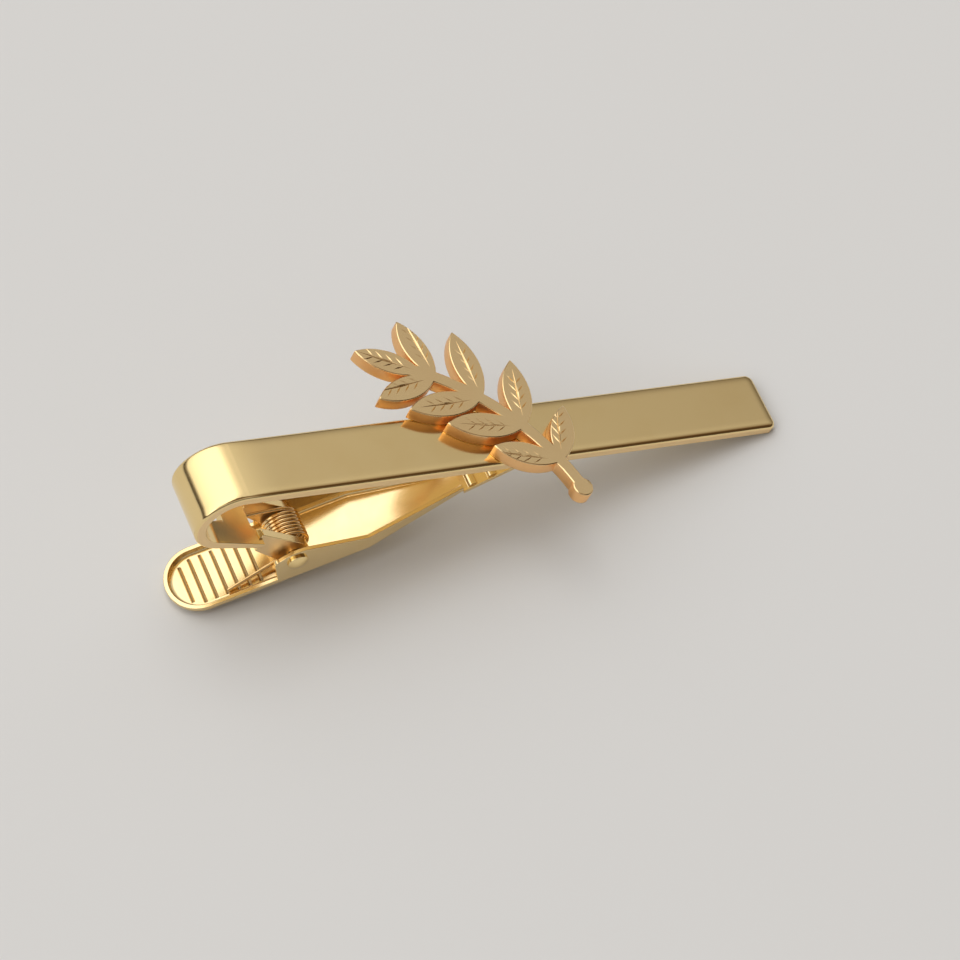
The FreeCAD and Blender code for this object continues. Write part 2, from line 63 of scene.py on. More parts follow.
# the pieces' own sizes are in millimetres and degrees
# the bar's axes: +X to its free end, +Z out of its front, origin on its back where the jaw bites
barSet = {
    "slope": 17.9033, "origin": (7.44951, -2.07749, 6.88603),
    "thickness": 1.0, "half": 3.0, "tip": 22.4, "edgeRound": 0.05, "frontRound": 0.3,
    "bend": (-31.8, -2.8), "bendRadius": 3.8, "easeReach": 3.5, "easeCuts": 12,
    "rollReach": 0.8, "rollTilt": 11.0, "rollCuts": 5, "rollFade": 2.0,
    "rim": 0.4, "skin": 0.1, "skinFacing": 0.98, "wallFacing": 0.97,
}
# the lever's axes: +X from the hinge to the jaw, +Z up out of the thumb pad
leverSet = {
    "slope": -7.6967, "origin": (-17.92224, -2.07749, 4.46856), "edgeRound": 0.06,
    "neck": 16.25, "neckSpared": 0.3, "ridgeCapArea": 0.12, "capFacing": 0.97,
    "padFloor": -2.65, "grooveDepth": 0.16, "grooveShares": (0.1, 1.1),
}
rivetSet = {"edgeRound": 0.03}


def axesOf(piece):
    place = Vector(piece["origin"]) * mm
    return Matrix.Translation(place) @ Matrix.Rotation(math.radians(piece["slope"]), 4, "Y")


barAxes, leverAxes = axesOf(barSet), axesOf(leverSet)
toBar, toLever = barAxes.inverted(), leverAxes.inverted()
scene = bpy.context.scene
scene.view_settings.view_transform = "Standard"

# place is in millimetres, clip in metres
cameraSet = {
    "place": (-85.533, -154.487, 289.397),
    "right": (0.92154, -0.38102, 0.07473),
    "down": (-0.29125, -0.80561, -0.51592),
    "lens": 141.43,
    "sensor": 36.0,
    "clip": (0.01, 20),
}


def makeCamera(view):
    data = bpy.data.cameras.new("photoCamera")
    data.lens = view["lens"]
    data.sensor_width = view["sensor"]
    data.clip_start, data.clip_end = view["clip"]
    camera = bpy.data.objects.new("photoCamera", data)
    scene.collection.objects.link(camera)
    right = Vector(view["right"]).normalized()
    up = -Vector(view["down"])
    up = (up - right * up.dot(right)).normalized()
    turned = Matrix((right, up, right.cross(up))).transposed().to_4x4()
    camera.matrix_world = Matrix.Translation(Vector(view["place"]) * mm) @ turned
    scene.camera = camera


makeCamera(cameraSet)

# reach is in metres, drop in millimetres under the clip
floorSet = {
    "reach": 3.0, "drop": 0.02, "colour": (0.69, 0.69, 0.68, 1), "roughness": 0.85, "shine": 0.2,
}


def makeFloor(settings):
    far, low = settings["reach"], -settings["drop"] * mm
    mesh = bpy.data.meshes.new("floor")
    corners = [(-far, -far, low), (far, -far, low), (far, far, low), (-far, far, low)]
    mesh.from_pydata(corners, [], [(0, 1, 2, 3)])
    floor = bpy.data.objects.new("floor", mesh)
    scene.collection.objects.link(floor)
    paint = bpy.data.materials.new("floorPaint")
    paint.use_nodes = True
    shader = paint.node_tree.nodes["Principled BSDF"]
    shader.inputs["Base Color"].default_value = settings["colour"]
    shader.inputs["Roughness"].default_value = settings["roughness"]
    shader.inputs["Specular IOR Level"].default_value = settings["shine"]
    mesh.materials.append(paint)


makeFloor(floorSet)

# towards is where a light hangs, seen from the clip, and far its distance in metres;
# each pair of sky, glow, horizon and flags is how far a direction leans there, then its light
lightSet = {
    "overhead": {"towards": (0.05, 0.3, 0.95), "far": 0.6, "size": (0.3, 0.3), "power": 0.55,
                 "mirrored": False},
    "side": {"towards": (-0.85, -0.35, 0.45), "far": 0.6, "size": (0.3, 0.3), "power": 0.35,
             "mirrored": True},
    "sky": ((0.0, 0.05), (0.12, 0.1), (0.3, 0.23), (0.45, 0.39), (0.6, 0.555), (0.75, 0.67),
            (1.0, 0.72)),
    "glowTowards": (-0.586, 0.45, 0.674),
    "glow": ((0.36, 0.0), (0.45, 0.0), (0.62, 0.06), (0.7, 0.25), (0.78, 1.0), (0.85, 1.6),
             (1.0, 1.75)),
    "horizon": ((0.1, 0.0), (0.28, 1.0)),  # the glow dies away near the floor
    "flags": (  # dark cards that draw brown lines along polished edges
        ((0.755, -0.352, 0.553), ((0.78, 1.0), (0.9, 0.3), (0.97, 0.12), (1.0, 0.1))),
        ((0.0, -0.47, 0.883), ((0.9, 1.0), (0.96, 0.3), (1.0, 0.12))),
    ),
    # powers of red, green and blue that warm the darker levels
    "warmth": {"sky": (0.94, 1.0, 1.06), "flags": (0.8, 1.0, 1.25)},
}


def addLamp(name, settings, target):
    data = bpy.data.lights.new(name, "AREA")
    data.shape = "RECTANGLE"
    data.size, data.size_y = settings["size"]
    data.energy = settings["power"]
    lamp = bpy.data.objects.new(name, data)
    scene.collection.objects.link(lamp)
    away = Vector(settings["towards"]).normalized()
    turned = away.to_track_quat("Z", "Y").to_matrix().to_4x4()
    lamp.matrix_world = Matrix.Translation(target + away * settings["far"]) @ turned
    lamp.visible_camera = False
    lamp.visible_glossy = settings["mirrored"]


def skyBand(tree, direction, towards, levels, blend="B_SPLINE", warmth=(1, 1, 1)):
    lean = tree.nodes.new("ShaderNodeVectorMath")
    lean.operation = "DOT_PRODUCT"
    lean.inputs[1].default_value = Vector(towards).normalized()
    tree.links.new(direction, lean.inputs[0])
    ramp = tree.nodes.new("ShaderNodeValToRGB")
    ramp.color_ramp.interpolation = blend
    while len(ramp.color_ramp.elements) < len(levels):
        ramp.color_ramp.elements.new(0.5)  # moved to its place below
    for stop, (place, level) in zip(ramp.color_ramp.elements, levels):
        stop.position = place
        stop.color = (*(level ** power for power in warmth), 1)
    tree.links.new(lean.outputs["Value"], ramp.inputs["Fac"])
    return ramp.outputs["Color"]


def makeSky(settings):
    world = bpy.data.worlds.new("studio")
    world.use_nodes = True
    scene.world = world
    tree = world.node_tree
    direction = tree.nodes.new("ShaderNodeTexCoord").outputs["Generated"]
    up = (0, 0, 1)

    def combined(kind, first, second):
        node = tree.nodes.new("ShaderNodeVectorMath")
        node.operation = kind
        tree.links.new(first, node.inputs[0])
        tree.links.new(second, node.inputs[1])
        return node.outputs[0]

    glow = skyBand(tree, direction, settings["glowTowards"], settings["glow"])
    glow = combined("MULTIPLY", glow, skyBand(tree, direction, up, settings["horizon"], "EASE"))
    sky = skyBand(tree, direction, up, settings["sky"], warmth=settings["warmth"]["sky"])
    light = combined("ADD", sky, glow)
    for towards, levels in settings["flags"]:
        card = skyBand(tree, direction, towards, levels, "EASE", settings["warmth"]["flags"])
        light = combined("MULTIPLY", light, card)
    tree.links.new(light, tree.nodes["Background"].inputs["Color"])


middle = (cadBox[0] + cadBox[1]) / 2
for lampName in ("overhead", "side"):
    addLamp(lampName + "Softbox", lightSet[lampName], middle)
makeSky(lightSet)
print("camera, floor and light made")


def newGroup(name, inputs, outputs):
    group = bpy.data.node_groups.new(name, "ShaderNodeTree")
    for label, kind, value in inputs:
        socket = group.interface.new_socket(label, in_out="INPUT", socket_type=kind)
        if value is not None:
            socket.default_value = value
    for label, kind in outputs:
        group.interface.new_socket(label, in_out="OUTPUT", socket_type=kind)
    return group, group.nodes.new("NodeGroupInput"), group.nodes.new("NodeGroupOutput")


def mathNode(tree, kind, *values):  # values are numbers or sockets
    node = tree.nodes.new("ShaderNodeMath")
    node.operation = kind
    for socket, value in zip(node.inputs, values):
        if isinstance(value, (int, float)):
            socket.default_value = value
        else:
            tree.links.new(value, socket)
    return node.outputs[0]


def noiseNode(tree, vector, scale, detail, rough):
    node = tree.nodes.new("ShaderNodeTexNoise")
    node.inputs["Detail"].default_value = detail
    node.inputs["Roughness"].default_value = rough
    tree.links.new(vector, node.inputs["Vector"])
    tree.links.new(scale, node.inputs["Scale"])
    return node.outputs["Fac"]


# detail and rough shape each noise; the spans are what it is stretched between
effectSet = {
    "lines": {"detail": 3.0, "rough": 0.6},
    "haze": {"detail": 4.0, "rough": 0.55, "coarser": 12.0},
    "clouds": {"detail": 5.0, "rough": 0.6, "span": (0.42, 0.72)},
    "hollowShade": {"samples": 8, "span": (0.62, 0.12)},
}


def stretched(group, value, span):
    spread = group.nodes.new("ShaderNodeMapRange")
    spread.inputs["From Min"].default_value, spread.inputs["From Max"].default_value = span
    group.links.new(value, spread.inputs["Value"])
    return spread.outputs[0]


def buffMarks(lines, haze):  # hairlines left by the polishing wheel, drawn out along X
    group, given, made = newGroup(
        "buffMarks",
        [("Vector", "NodeSocketVector", None), ("Fineness", "NodeSocketFloat", 9000.0),
         ("Stretch", "NodeSocketFloat", 40.0), ("Amount", "NodeSocketFloat", 0.5)],
        [("Height", "NodeSocketFloat"), ("Haze", "NodeSocketFloat")],
    )
    get = given.outputs
    split = group.nodes.new("ShaderNodeSeparateXYZ")
    group.links.new(get["Vector"], split.inputs[0])
    drawn = group.nodes.new("ShaderNodeCombineXYZ")
    long = mathNode(group, "DIVIDE", split.outputs["X"], get["Stretch"])
    group.links.new(long, drawn.inputs["X"])
    group.links.new(split.outputs["Y"], drawn.inputs["Y"])
    group.links.new(split.outputs["Z"], drawn.inputs["Z"])
    hair = noiseNode(group, drawn.outputs[0], get["Fineness"], lines["detail"], lines["rough"])
    group.links.new(mathNode(group, "MULTIPLY", hair, get["Amount"]), made.inputs["Height"])
    broad = mathNode(group, "DIVIDE", get["Fineness"], haze["coarser"])
    dull = noiseNode(group, drawn.outputs[0], broad, haze["detail"], haze["rough"])
    group.links.new(dull, made.inputs["Haze"])
    return group


def handling(clouds):  # faint clouds where fingers have dulled the shine
    group, given, made = newGroup(
        "handling",
        [("Vector", "NodeSocketVector", None), ("Scale", "NodeSocketFloat", 160.0)],
        [("Mask", "NodeSocketFloat")],
    )
    get = given.outputs
    broad = noiseNode(group, get["Vector"], get["Scale"], clouds["detail"], clouds["rough"])
    group.links.new(stretched(group, broad, clouds["span"]), made.inputs["Mask"])
    return group


def hollowShade(depth):  # painted shade: ambient occlusion marks the deep corners, which the gold finishes darken towards a brown tone
    group, given, made = newGroup(
        "hollowShade",
        [("Reach", "NodeSocketFloat", 0.0012)],
        [("Mask", "NodeSocketFloat")],
    )
    shade = group.nodes.new("ShaderNodeAmbientOcclusion")
    shade.samples = depth["samples"]
    shade.only_local = True
    group.links.new(given.outputs["Reach"], shade.inputs["Distance"])
    group.links.new(stretched(group, shade.outputs["AO"], depth["span"]), made.inputs["Mask"])
    return group


effects = {
    "buffMarks": buffMarks(effectSet["lines"], effectSet["haze"]),
    "handling": handling(effectSet["clouds"]),
    "hollowShade": hollowShade(effectSet["hollowShade"]),
}


def placeGroup(tree, name, vector=None, **values):
    node = tree.nodes.new("ShaderNodeGroup")
    node.node_tree = effects[name]
    for label, value in values.items():
        node.inputs[label].default_value = value
    if vector is not None:
        tree.links.new(vector, node.inputs["Vector"])
    return node


def mixColour(tree, mask, first, second):
    mix = tree.nodes.new("ShaderNodeMix")
    mix.data_type = "RGBA"
    for socket, value in ((mix.inputs[0], mask), (mix.inputs[6], first), (mix.inputs[7], second)):
        if isinstance(value, bpy.types.NodeSocket):
            tree.links.new(value, socket)
        else:
            socket.default_value = value
    return mix.outputs[2]


def goldFinish(name, look):
    gold = bpy.data.materials.new(name)
    gold.use_nodes = True
    tree = gold.node_tree
    shader = tree.nodes["Principled BSDF"]
    shader.inputs["Metallic"].default_value = 1.0
    coords = tree.nodes.new("ShaderNodeTexCoord")
    turn = tree.nodes.new("ShaderNodeMapping")
    turn.vector_type = "TEXTURE"
    turn.inputs["Rotation"].default_value = tuple(math.radians(a) for a in look["turn"])
    tree.links.new(coords.outputs["Object"], turn.inputs["Vector"])
    along = turn.outputs["Vector"]
    marks = placeGroup(tree, "buffMarks", along, Fineness=look["fineness"], Stretch=look["stretch"],
                       Amount=1.0)
    touched = placeGroup(tree, "handling", along, Scale=look["cloud"])
    # painted shade: ambient occlusion darkens deep corners towards the deep tone and roughens them
    deep = placeGroup(tree, "hollowShade", Reach=look["hollowReach"])
    # cut sides have their own tone, and on the lever the same mask paints shade into the bottoms of
    # the thumb pad's grooves
    cutSidesAndGrooveShade = tree.nodes.new("ShaderNodeAttribute")
    cutSidesAndGrooveShade.attribute_name = "cutSidesAndGrooveShade"
    worn = mixColour(tree, touched.outputs["Mask"], (*look["bright"], 1), (*look["warm"], 1))
    toned = mixColour(tree, deep.outputs["Mask"], worn, (*look["deep"], 1))
    toned = mixColour(tree, cutSidesAndGrooveShade.outputs["Fac"], toned, (*look["cutSidesAndGrooveShade"], 1))
    tree.links.new(toned, shader.inputs["Base Color"])
    rough = mathNode(tree, "MULTIPLY_ADD", marks.outputs["Haze"], look["haze"], look["roughness"])
    rough = mathNode(tree, "MULTIPLY_ADD", touched.outputs["Mask"], look["smudge"], rough)
    rough = mathNode(tree, "MULTIPLY_ADD", deep.outputs["Mask"], look["deepRough"], rough)
    rough = mathNode(tree, "MULTIPLY_ADD", cutSidesAndGrooveShade.outputs["Fac"], look["wallRough"], rough)
    tree.links.new(rough, shader.inputs["Roughness"])
    bump = tree.nodes.new("ShaderNodeBump")
    bump.inputs["Strength"].default_value = look["relief"]
    bump.inputs["Distance"].default_value = look["markDepth"]
    tree.links.new(marks.outputs["Height"], bump.inputs["Height"])
    tree.links.new(bump.outputs["Normal"], shader.inputs["Normal"])
    return gold


# lengths of the finishes are in metres; the other looks start from the bar's
barLook = {
    "turn": (0, barSet["slope"], 0), "fineness": 9000.0, "stretch": 60.0, "cloud": 140.0,
    "hollowReach": 0.0015, "markDepth": 0.00001,
    "bright": (0.93, 0.71, 0.345), "warm": (0.9, 0.67, 0.31), "deep": (0.5, 0.29, 0.1),
    "roughness": 0.09, "haze": 0.06, "smudge": 0.04, "deepRough": 0.12, "relief": 0.12,
    "cutSidesAndGrooveShade": (0.94, 0.69, 0.37), "wallRough": 0.26,
}
leverLook = dict(
    barLook, turn=(0, leverSet["slope"], 0), stretch=12.0, hollowReach=0.0009,
    # painted highlight: the lever's gold is paler than the bar's same plating, standing in for its
    # brightly lit pad and arm
    bright=(0.95, 0.745, 0.4), warm=(0.93, 0.69, 0.33), deep=(0.48, 0.25, 0.07),
    # painted shade: the lever's nearly black wall tone darkens the bottoms of the thumb pad's
    # grooves
    roughness=0.13, haze=0.08, relief=0.2, cutSidesAndGrooveShade=(0.15, 0.075, 0.025), wallRough=0.06,
)
rivetLook = dict(
    barLook, stretch=1.0, fineness=7000.0, cloud=900.0, roughness=0.12, hollowReach=0.0006,
)
springLook = dict(
    barLook, stretch=4.0, fineness=12000.0, cloud=700.0, hollowReach=0.0004,
    bright=(0.93, 0.67, 0.33), warm=(0.88, 0.59, 0.27), deep=(0.42, 0.21, 0.07), roughness=0.1,
)
sprigLook = dict(
    barLook, bright=(0.95, 0.7, 0.36), warm=(0.93, 0.66, 0.33), hollowReach=0.0006,
    roughness=0.16, haze=0.08, relief=0.16, cutSidesAndGrooveShade=(0.93, 0.56, 0.25), wallRough=0.22,
)
barGold = goldFinish("barGold", barLook)
leverGold = goldFinish("leverGold", leverLook)
rivetGold = goldFinish("rivetGold", rivetLook)
springGold = goldFinish("springGold", springLook)
sprigGold = goldFinish("sprigGold", sprigLook)
print("gold finishes made")

# weld and cutWeld join points, flatAngle makes flats whole, sharpAngle gets a broken edge
meshSet = {
    "weld": 0.002, "cutWeld": 0.001, "flatAngle": 0.3, "sharpAngle": 35, "creaseAngle": 50,
    "bevelSteps": 2, "evenWeight": 100,
}
# how near a point has to lie to the CAD's face, and how alike they have to face, to take its normal
normalSet = {"inwards": 0.05, "gap": 0.02, "sameFace": 0.978, "sameTurn": 0.94}


def linked(name, mesh):
    obj = bpy.data.objects.new(name, mesh)
    scene.collection.objects.link(obj)
    return obj


def plainShading(mesh):
    for attribute in ("custom_normal", "sharp_edge", "sharp_face"):
        if attribute in mesh.attributes:
            mesh.attributes.remove(mesh.attributes[attribute])


def mergedCopy(node, name):  # the CAD piece with its facets joined, flats made whole again
    mesh = nodes[node].data.copy()
    mesh.name = name
    grid = bmesh.new()
    grid.from_mesh(mesh)
    bmesh.ops.remove_doubles(grid, verts=grid.verts, dist=meshSet["weld"] * mm)
    bmesh.ops.join_triangles(grid, faces=grid.faces, angle_shape_threshold=math.pi,
                             angle_face_threshold=math.radians(meshSet["flatAngle"]))
    grid.to_mesh(mesh)
    grid.free()
    plainShading(mesh)
    mesh.materials.clear()
    return mesh


def asMesh(obj):  # what the modifiers make, as a plain mesh on the same object
    bpy.context.view_layer.update()
    graph = bpy.context.evaluated_depsgraph_get()
    made = bpy.data.meshes.new_from_object(
        obj.evaluated_get(graph), preserve_all_data_layers=True, depsgraph=graph)
    name = obj.name
    bpy.data.objects.remove(obj)
    made.name = name
    return linked(name, made)


def softEdges(obj, width, shareOf=lambda edge: 1.0):  # shareOf gives an edge's part of the width
    mesh = obj.data
    sharp = mesh.attributes.new("bevel_weight_edge", "FLOAT", "EDGE")
    grid = bmesh.new()
    grid.from_mesh(mesh)
    for edge in grid.edges:
        if edge.calc_face_angle(0) > math.radians(meshSet["sharpAngle"]):
            sharp.data[edge.index].value = shareOf(edge)
    grid.free()
    bevel = obj.modifiers.new("softEdges", "BEVEL")
    bevel.width = width * mm
    bevel.segments = meshSet["bevelSteps"]
    bevel.limit_method = "WEIGHT"
    bevel.use_clamp_overlap = False
    mesh.shade_smooth()
    obj = asMesh(obj)
    obj.data.set_sharp_from_angle(angle=math.radians(meshSet["creaseAngle"]))
    # flats stay flat beside their rounded edges
    even = obj.modifiers.new("evenShade", "WEIGHTED_NORMAL")
    even.keep_sharp = True
    even.weight = meshSet["evenWeight"]
    return asMesh(obj)


def cadNormals(obj, node, adjust=None, settle=None):  # light runs over flats as the CAD has them
    source, mesh = nodes[node].data, obj.data
    source.calc_loop_triangles()
    places = [v.co for v in source.vertices]
    triangles = [tuple(t.vertices) for t in source.loop_triangles]
    corners = [tuple(t.loops) for t in source.loop_triangles]
    tree = BVHTree.FromPolygons(places, triangles)
    normals = [corner.vector.copy() for corner in mesh.corner_normals]

    def blendedNormal(index, spot):
        shares = poly_3d_calc([places[i] for i in triangles[index]], spot)
        parts = (source.corner_normals[c].vector * s for c, s in zip(corners[index], shares))
        return sum(parts, Vector())

    for polygon in mesh.polygons:
        for loop in polygon.loop_indices:
            corner = mesh.vertices[mesh.loops[loop].vertex_index].co
            place = corner.lerp(polygon.center, normalSet["inwards"])
            spot, facing, index, gap = tree.find_nearest(place)
            if gap < normalSet["gap"] * mm and facing.dot(polygon.normal) > normalSet["sameFace"]:
                blended = blendedNormal(index, spot)
                if blended.dot(polygon.normal) > normalSet["sameTurn"]:
                    normals[loop] = blended.normalized()
            if adjust:
                normals[loop] = adjust(place, normals[loop])
    if settle:
        for vertex in mesh.vertices:
            vertex.co = settle(vertex.co)
    mesh.normals_split_custom_set(normals)


def markWalls(mesh, shareOf, points=False):  # where the tone of cut sides and the painted groove shade shows, by face or by point
    cutSidesAndGrooveShade = mesh.attributes.new("cutSidesAndGrooveShade", "FLOAT", "POINT" if points else "FACE")
    for part in mesh.vertices if points else mesh.polygons:
        cutSidesAndGrooveShade.data[part.index].value = float(shareOf(part))


def finishPiece(obj, material, body, node):
    if not obj.data.materials:
        obj.data.materials.append(material)
    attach(obj, body)
    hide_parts(node)
    print(f"{obj.name}: {len(obj.data.polygons)} faces")


def easedTurn(place, normal):  # the strip starts to curl a little before its bend
    local = toBar @ place / mm
    x, z = local.x - barSet["bend"][0], local.z - barSet["bend"][1]
    radius, reach = barSet["bendRadius"], barSet["easeReach"]
    outward = math.hypot(min(x, 0), z)
    along = radius * math.atan2(-x, z) if x < 0 else -x
    if z < 0 or abs(along) > reach or outward < radius - barSet["rim"]:
        return normal
    turn = (along + reach) ** 2 / (4 * reach * radius) - max(along, 0) / radius
    return Matrix.Rotation(-turn, 3, "Y") @ normal


def onFront(place):  # the way out of the front and its bend, and how deep a point lies under them
    local = toBar @ place / mm
    x, z = local.x - barSet["bend"][0], local.z - barSet["bend"][1]
    out = Vector((min(x, 0), 0, z))
    return local, out.normalized(), barSet["bendRadius"] - out.length if z > 0 else math.inf


def rollOff(local):  # the front's edges near a point, and how far it lies in their worn stretch
    inset = barSet["frontRound"]
    toSide = Vector((0, math.copysign(1, local.y), 0))
    toTip = Vector((1, 0, 0))
    gaps = (
        (toSide, barSet["half"] - inset - abs(local.y)),
        (toTip, barSet["tip"] - inset - local.x),
    )
    fade = min(1, (local.z - barSet["bend"][1]) / barSet["rollFade"])
    for side, gap in gaps:
        share = 1 - max(gap, 0) / barSet["rollReach"]
        if share > 0:
            yield side, share, fade


def rolledTurn(place, normal):  # polishing has worn the front down a little towards its edges
    local, out, depth = onFront(place)
    facing = toBar.to_3x3() @ normal
    if depth > barSet["rim"] or facing.dot(out) < 0:
        return normal
    for side, share, fade in rollOff(local):
        left = 1 - max(math.atan2(facing.dot(side), facing.dot(out)), 0) / (math.pi / 2)
        tilt = math.radians(barSet["rollTilt"]) * share ** 2 * fade * max(left, 0)
        facing = Matrix.Rotation(tilt, 3, out.cross(side)) @ facing
    return barAxes.to_3x3() @ facing


def rolledDown(place):  # the fall that goes with that turn
    local, out, depth = onFront(place)
    if depth > barSet["rim"]:
        return place
    deepest = math.tan(math.radians(barSet["rollTilt"])) * barSet["rollReach"] / 3
    drop = sum(deepest * share ** 3 * fade for side, share, fade in rollOff(local))
    return barAxes @ ((local - out * drop) * mm)


def frontOnly(grid):
    faces = []
    for face in grid.faces:
        local, out, depth = onFront(face.calc_center_median())
        facing = toBar.to_3x3() @ face.normal
        if depth < barSet["skin"] and facing.dot(out) > barSet["skinFacing"]:
            faces.append(face)
    return faces + list({part for face in faces for part in (*face.edges, *face.verts)})


def cutRow(grid, parts, spot, way):
    bmesh.ops.bisect_plane(grid, geom=parts, plane_co=barAxes @ (Vector(spot) * mm),
                           plane_no=barAxes.to_3x3() @ Vector(way), dist=meshSet["cutWeld"] * mm)


def cutAcross(mesh, piece):  # rows of points where the curl starts and along the worn edges
    grid = bmesh.new()
    grid.from_mesh(mesh)
    for step in range(piece["easeCuts"] + 1):
        x = piece["bend"][0] + piece["easeReach"] * step / piece["easeCuts"]
        cutRow(grid, grid.verts[:] + grid.edges[:] + grid.faces[:], (x, 0, 0), (1, 0, 0))
    for step in range(1, piece["rollCuts"] + 1):
        inset = piece["frontRound"] + piece["rollReach"] * step / piece["rollCuts"]
        across, along = piece["half"] - inset, piece["tip"] - inset
        for spot in ((0, across, 0), (0, -across, 0), (along, 0, 0)):
            cutRow(grid, frontOnly(grid), spot, Vector(spot).normalized())
    grid.to_mesh(mesh)
    grid.free()
    return mesh


def wornFront(place, normal):
    return rolledTurn(place, easedTurn(place, normal))


strip = cutAcross(mergedCopy("front_bar", "frontBar"), barSet)
frontBar = softEdges(linked("frontBar", strip), barSet["edgeRound"])
markWalls(frontBar.data, lambda polygon: abs(polygon.normal.y) > barSet["wallFacing"])
cadNormals(frontBar, "front_bar", wornFront, rolledDown)
finishPiece(frontBar, barGold, "bar", "front_bar")


def isRidgeCap(face):
    small = face.calc_area() < leverSet["ridgeCapArea"] * mm * mm
    return small and abs(face.normal.y) > leverSet["capFacing"]


def leverEdge(edge):  # the meeting at the neck and the ends of the jaw's ridges stay sharp
    centre = (edge.verts[0].co + edge.verts[1].co) / 2
    past = (toLever @ centre).x / mm - leverSet["neck"]
    atNeck = abs(past) < leverSet["neckSpared"]
    atRidge = past > 0 and any(map(isRidgeCap, edge.link_faces))
    return 0.0 if atNeck or atRidge else 1.0


def inGroove(vertex):  # how deep a point lies in one of the thumb pad's grooves, which is its share of painted shade
    place = toLever @ vertex.co / mm
    share = (leverSet["padFloor"] - place.z) / leverSet["grooveDepth"]
    least, most = leverSet["grooveShares"]
    return share if place.x < 0 and least < share < most else 0.0


clipLever = linked("clipLever", mergedCopy("clip_lever", "clipLever"))
clipLever = softEdges(clipLever, leverSet["edgeRound"], leverEdge)
# painted shade: the groove bottoms take the lever's dark wall tone
markWalls(clipLever.data, inGroove, points=True)
cadNormals(clipLever, "clip_lever")
finishPiece(clipLever, leverGold, "lever", "clip_lever")

hingeRivet = linked("hingeRivet", mergedCopy("hinge_pin", "hingeRivet"))
hingeRivet = softEdges(hingeRivet, rivetSet["edgeRound"])
cadNormals(hingeRivet, "hinge_pin")
finishPiece(hingeRivet, rivetGold, "lever", "hinge_pin")


def newTree(name, inputs):
    tree = bpy.data.node_groups.new(name, "GeometryNodeTree")
    tree.interface.new_socket("Geometry", in_out="INPUT", socket_type="NodeSocketGeometry")
    for label, kind in inputs:
        tree.interface.new_socket(label, in_out="INPUT", socket_type=kind)
    tree.interface.new_socket("Geometry", in_out="OUTPUT", socket_type="NodeSocketGeometry")
    return tree, tree.nodes.new("NodeGroupInput"), tree.nodes.new("NodeGroupOutput")


def addNode(tree, kind, links=(), **settings):  # links pair an input with a socket or a value
    node = tree.nodes.new(kind)
    for label, value in settings.items():
        setattr(node, label, value)
    for label, source in links:
        socket = node.inputs[label]
        if isinstance(source, bpy.types.NodeSocket):
            tree.links.new(source, socket)
        else:
            socket.default_value = source
    return node


def joined(tree, *parts):
    node = tree.nodes.new("GeometryNodeJoinGeometry")
    for part in reversed(parts):
        tree.links.new(part, node.inputs[0])
    return node.outputs[0]


def endTree(tree, made, shape, material):  # real geometry in its finish
    real = addNode(tree, "GeometryNodeRealizeInstances", (("Geometry", shape),))
    links = (("Geometry", real.outputs[0]), ("Material", material))
    tree.links.new(addNode(tree, "GeometryNodeSetMaterial", links).outputs[0], made.inputs[0])


def runTree(obj, tree, values):
    modifier = obj.modifiers.new(tree.name, "NODES")
    modifier.node_group = tree
    for item in tree.interface.items_tree:
        if item.in_out == "INPUT" and item.name in values:
            modifier[item.identifier] = values[item.name]
    return asMesh(obj)


# hinge, hook and leg in the bar's axes, rest in the lever's; hookCurl and legEase are shares
springSet = {
    "wire": 0.34, "sides": 14, "coilRadius": 1.6, "closeness": 0.362,
    "wholeTurns": 7, "pointsPerTurn": 16, "smoothness": 4, "order": 3,
    "hinge": (-23.4, -10.1), "hookX": -32.3, "legZ": -7.106, "lead": 1.2,
    "hookRise": 1.5, "hookCurl": 0.3, "legEase": 0.12,
    "restAlong": -6.4, "restUp": -2.42, "restSide": -2.1,
    "twistFrom": 0.2, "twistTo": -1.0,
}


def wireTree(material):
    inputs = [("Wire", "NodeSocketFloat"), ("Sides", "NodeSocketInt")]
    tree, given, made = newTree("springWire", inputs)
    get = given.outputs
    radius = mathNode(tree, "MULTIPLY", get["Wire"], 0.5)
    ring = addNode(tree, "GeometryNodeCurvePrimitiveCircle",
                   (("Resolution", get["Sides"]), ("Radius", radius)))
    drawn = addNode(tree, "GeometryNodeCurveToMesh",
                    (("Curve", get["Geometry"]), ("Profile Curve", ring.outputs[0]),
                     ("Fill Caps", True)))
    smooth = addNode(tree, "GeometryNodeSetShadeSmooth", (("Geometry", drawn.outputs[0]),))
    endTree(tree, made, smooth.outputs[0], material)
    return tree


